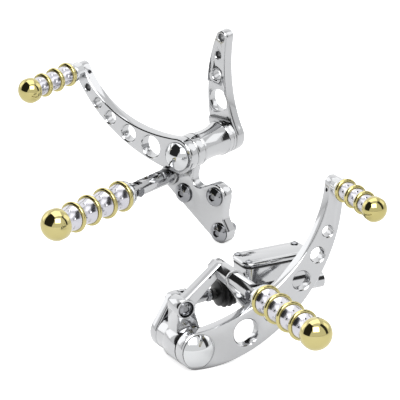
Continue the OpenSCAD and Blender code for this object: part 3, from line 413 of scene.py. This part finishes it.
def addCard(name, v):
    deselectAll()
    bpy.ops.mesh.primitive_plane_add(size=1)
    card = bpy.context.object
    card.name = name
    card.scale = (*v["size"], 1)
    aimed(card, around(v["turn"], v["height"], v["distance"]))
    material = bpy.data.materials.new(name + "Paint")
    material.use_nodes = True
    tree = material.node_tree
    links = tree.links
    tree.nodes.remove(tree.nodes["Principled BSDF"])
    spot = addNode(tree, "ShaderNodeTexCoord", (-900, 0))
    parts = addNode(tree, "ShaderNodeSeparateXYZ", (-700, 0))
    links.new(spot.outputs["Object"], parts.inputs["Vector"])
    widest = addNode(tree, "ShaderNodeMath", (-300, -60), operation="MAXIMUM")
    for row, letter in enumerate("XY"):
        far = addNode(tree, "ShaderNodeMath", (-500, -200 * row), operation="ABSOLUTE")
        links.new(parts.outputs[letter], far.inputs[0])
        links.new(far.outputs["Value"], widest.inputs[row])
    fade = addNode(tree, "ShaderNodeMapRange", (-100, -60), interpolation_type="SMOOTHSTEP")
    setInputs(fade, {"From Min": 0.5 - v["rim"], "From Max": 0.5})  # the plane is 1 wide before its scale
    links.new(widest.outputs["Value"], fade.inputs["Value"])
    glow = addNode(tree, "ShaderNodeEmission", (120, 60))
    setInputs(glow, {"Color": (v["grey"], v["grey"], v["grey"], 1)})
    clear = addNode(tree, "ShaderNodeBsdfTransparent", (120, -160))
    mix = addNode(tree, "ShaderNodeMixShader", (340, 0))
    links.new(fade.outputs["Result"], mix.inputs[0])
    links.new(glow.outputs["Emission"], mix.inputs[1])
    links.new(clear.outputs["BSDF"], mix.inputs[2])
    links.new(mix.outputs["Shader"], tree.nodes["Material Output"].inputs["Surface"])
    card.data.materials.append(material)
    card.visible_camera = False
    card.visible_diffuse = False
    card.visible_shadow = False
    card.visible_transmission = False


makeFloor(floorValues)
makeRoom(roomValues)
for name, v in lampValues.items():
    addLamp(name, v)
for name, v in cardValues.items():
    addCard(name, v)
print("stage: studio lit")

bodyOf = {node: body for body, members in frame["record"]["behaviour"]["bodies"].items() for node in members}


# A piece is called what its CAD node is called, in one word
def pieceNameOf(nodeName):
    words = nodeName.split("_")
    return words[0] + "".join(w.capitalize() for w in words[1:])


def standInFor(piece, nodeName):
    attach(piece, bodyOf[nodeName])
    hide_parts(nodeName)


# Edges that a maker would break by hand, in metres, node by node
roundings = {
    "shift_bracket": 0.00025, "shift_toe_lever": 0.00025, "shift_linkage_arm": 0.00025,
    "brake_bracket": 0.0005, "brake_pedal": 0.00025, "brake_inner_arm": 0.00025,
    "master_cylinder": 0.0007, "reservoir_lid": 0.0003,
    "shift_foot_peg_mount": 0.0003, "brake_foot_peg_mount": 0.0003,
    "shift_foot_peg_core": 0.0003, "brake_foot_peg_core": 0.0003,
    "shift_toe_peg_core": 0.0002, "brake_toe_peg_core": 0.0002,
    "shift_foot_peg_grips": 0.0002, "brake_foot_peg_grips": 0.0002,
    "shift_toe_peg_grips": 0.0002, "brake_toe_peg_grips": 0.0002,
    "shift_bracket_bolts": 0.0002, "brake_bracket_bolts": 0.0002, "shift_arm_screw": 0.0002,
    "brake_arm_screw": 0.0002, "pushrod_clevis": 0.0003, "pushrod_lock_nut": 0.0002,
    "master_cylinder_screws": 0.0002, "reservoir_lid_screws": 0.0001,
}
# Points closer than weld, in metres, are one point; faces within flatWithin, in degrees, are one face
refineValues = {"weld": 0.000002, "flatWithin": 0.6, "segments": 2, "sharpFrom": 28.0}


# A CAD node is copied, welded, its flat faces joined, and its sharp edges finely rounded
def refine(nodeName, rounding, v):
    deselectAll()
    source = nodes[nodeName]
    piece = source.copy()
    piece.data = source.data.copy()
    piece.name = piece.data.name = pieceNameOf(nodeName)
    piece.parent = None
    for key in list(piece.keys()):
        del piece[key]
    bpy.context.scene.collection.objects.link(piece)
    bpy.context.view_layer.objects.active = piece
    piece.select_set(True)
    if piece.data.has_custom_normals:
        bpy.ops.mesh.customdata_custom_splitnormals_clear()
    bpy.ops.object.mode_set(mode="EDIT")
    bpy.ops.mesh.select_all(action="SELECT")
    bpy.ops.mesh.remove_doubles(threshold=v["weld"])
    bpy.ops.mesh.dissolve_limited(angle_limit=math.radians(v["flatWithin"]))
    bpy.ops.object.mode_set(mode="OBJECT")
    bevel = piece.modifiers.new("roundedEdges", "BEVEL")
    bevel.width = rounding
    bevel.segments = v["segments"]
    bevel.limit_method = "ANGLE"
    bevel.angle_limit = math.radians(v["sharpFrom"])
    bevel.use_clamp_overlap = True
    bpy.ops.object.modifier_apply(modifier="roundedEdges")
    bpy.ops.object.shade_smooth_by_angle(angle=math.radians(v["sharpFrom"]))
    standInFor(piece, nodeName)


for nodeName, rounding in roundings.items():
    refine(nodeName, rounding, refineValues)
print("stage: metal edges rounded")

# Each side has its own inward, ahead and up in millimetres; these take them to the shared frame in metres
brakeTurn = math.radians(247.3)
brakeOrigin = Vector((-0.291, -0.2166, -0.014067))
shiftOrigin = (-25, 25.9, 51.433)  # millimetres


def onBrake(inward, ahead, up):
    c, s = math.cos(brakeTurn), math.sin(brakeTurn)
    return brakeOrigin + Vector((-inward * c - ahead * s, -inward * s + ahead * c, up)) / 1000


def onShift(inward, ahead, up):
    return Vector((inward + shiftOrigin[0], ahead + shiftOrigin[1], up + shiftOrigin[2])) / 1000


brakeAhead = (onBrake(0, 1, 0) - onBrake(0, 0, 0)).normalized()
spinValues = {"start": 0.001, "weld": 0.00001, "sharpFrom": 40.0}


# Turned pieces: a profile of places along an axis and radii, in millimetres, spun round that axis
def spinProfile(name, profile, foot, way, turnSteps, v=spinValues):
    deselectAll()
    bpy.ops.mesh.primitive_plane_add(size=v["start"], location=(0, 0, 0))
    piece = bpy.context.object
    piece.name = piece.data.name = name
    bpy.ops.object.mode_set(mode="EDIT")
    bpy.ops.mesh.merge(type="CENTER")
    last = foot + way * profile[0][0] / 1000 + Vector((0, 0, profile[0][1] / 1000))
    bpy.ops.transform.translate(value=last)
    for along, radius in profile[1:]:
        spot = foot + way * along / 1000 + Vector((0, 0, radius / 1000))
        bpy.ops.mesh.extrude_region_move(TRANSFORM_OT_translate={"value": spot - last})
        last = spot
    bpy.ops.mesh.select_all(action="SELECT")
    bpy.ops.mesh.spin(steps=turnSteps, angle=2 * math.pi, center=foot, axis=way)
    bpy.ops.mesh.select_all(action="SELECT")
    bpy.ops.mesh.remove_doubles(threshold=v["weld"])
    bpy.ops.mesh.normals_make_consistent(inside=False)
    bpy.ops.object.mode_set(mode="OBJECT")
    bpy.ops.object.shade_smooth_by_angle(angle=math.radians(v["sharpFrom"]))
    return piece


# Rubber boot: a neck on the rod, rounded folds that widen, and a collar on the cylinder's nose
bootValues = {"inward": 63.0, "up": 29.0, "turnSteps": 96, "squashed": 0.77,
              "neckFrom": 47.6, "neckTo": 51.5, "foldsTo": 67.8, "collarTo": 71.5,
              "neckRadius": 5.9, "rodRadius": 4.1, "noseRadius": 11.0, "collarRadius": 13.6, "bigRadius": 14.9,
              "folds": 3, "foldDepth": 1.9, "foldSteps": 14, "wall": 1.0, "rodPlay": 0.3,
              "flare": 2.2, "flareFrom": 0.12, "lip": 0.5, "edge": 0.6,
              "collarRise": (1.2, 0.2), "collarFull": 2.0}


def bootProfile(v):
    neck, collar, edge = v["neckRadius"], v["collarRadius"], v["edge"]
    outer = [(v["neckFrom"], neck - v["lip"]), (v["neckFrom"] + v["lip"], neck), (v["neckTo"] - edge, neck)]
    steps = v["foldSteps"] * v["folds"]
    for i in range(steps + 1):
        q = i / steps
        flare = math.sin(min(1, v["flare"] * q + v["flareFrom"]) * math.pi / 2)
        swell = neck + (v["bigRadius"] - v["foldDepth"] - neck) * flare
        wave = v["foldDepth"] * math.cos(2 * math.pi * v["folds"] * q)
        outer.append((v["neckTo"] + (v["foldsTo"] - v["neckTo"]) * q, swell - wave))
    folds = outer[3:]
    riseAlong, riseDown = v["collarRise"]
    collarFull = v["foldsTo"] + v["collarFull"]
    outer += [(v["foldsTo"] + riseAlong, collar - riseDown), (collarFull, collar),
              (v["collarTo"] - edge, collar), (v["collarTo"], collar - edge)]
    inner = [(v["collarTo"], v["noseRadius"]), (collarFull, v["noseRadius"])]
    inner += [(u, max(r - v["wall"], v["rodRadius"] + v["rodPlay"])) for u, r in reversed(folds)]
    inner += [(v["neckTo"] - edge, v["rodRadius"]), (v["neckFrom"], v["rodRadius"])]
    return outer + inner


def makeBoot(v):
    profile = bootProfile(v)
    foot = onBrake(v["inward"], 0, v["up"])
    boot = spinProfile("pushrodBoot", profile + [profile[0]], foot, brakeAhead, v["turnSteps"])
    boot.data.materials.append(finishes["black_rubber"])
    standInFor(boot, "pushrod_boot")
    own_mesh(boot)


makeBoot(bootValues)
print("stage: boot made")

# Caps: a bore, a skirt with a broken edge, and a dome, in millimetres outward from the side's own zero
capShapes = {
    "foot": {"bore": 6.05, "boreEnd": 169.4, "from": 160.62, "skirt": 7.12, "radius": 16.28, "dome": 12.98},
    "toe": {"bore": 6.05, "boreEnd": 78.5, "from": 71.72, "skirt": 6.4, "radius": 12.53, "dome": 8.98},
    "shiftDome": {"bore": 5.05, "boreEnd": 5.48, "from": 0.06, "skirt": 1.19, "radius": 14.48, "dome": 7.78},
    "brakeDome": {"bore": 5.05, "boreEnd": 5.48, "from": 0.06, "skirt": 1.19, "radius": 17.23, "dome": 7.78},
}
capPlaces = {
    "shift_foot_peg_cap": {"shape": "foot", "side": "shift", "at": (19.2, -27.4)},
    "brake_foot_peg_cap": {"shape": "foot", "side": "brake", "at": (39.5, 68)},
    "shift_toe_peg_cap": {"shape": "toe", "side": "shift", "at": (126, 62)},
    "brake_toe_peg_cap": {"shape": "toe", "side": "brake", "at": (152.7, 145.5)},
    "shift_dome_cap": {"shape": "shiftDome", "side": "shift", "at": (0, 0)},
    "brake_dome_cap": {"shape": "brakeDome", "side": "brake", "at": (0, 0)},
}
turningValues = {"turnSteps": 112, "rings": 26, "edge": 0.35, "edgeMiddle": 0.1}


def makeCap(nodeName, place, v, turning):
    start, radius, edge, middle = v["from"], v["radius"], turning["edge"], turning["edgeMiddle"]
    top = start + v["skirt"]
    ball = (radius ** 2 + v["dome"] ** 2) / 2 / v["dome"]
    sweep = math.asin(min(1.0, radius / ball))
    profile = [(v["boreEnd"], 0), (v["boreEnd"], v["bore"]), (start, v["bore"]),
               (start, radius - edge), (start + middle, radius - middle), (start + edge, radius)]
    for i in range(turning["rings"] + 1):
        a = sweep * (1 - i / turning["rings"])
        profile.append((top + v["dome"] - ball + ball * math.cos(a), ball * math.sin(a)))
    if place["side"] == "brake":
        foot, way = onBrake(0, *place["at"]), onBrake(-1, 0, 0) - onBrake(0, 0, 0)
    else:
        foot, way = onShift(0, *place["at"]), Vector((-1, 0, 0))
    cap = spinProfile(pieceNameOf(nodeName), profile, foot, way.normalized(), turning["turnSteps"])
    cap.data.materials.append(finishes[slotOf[nodeName]])
    standInFor(cap, nodeName)


for nodeName, place in capPlaces.items():
    makeCap(nodeName, place, capShapes[place["shape"]], turningValues)
print("stage: caps made")
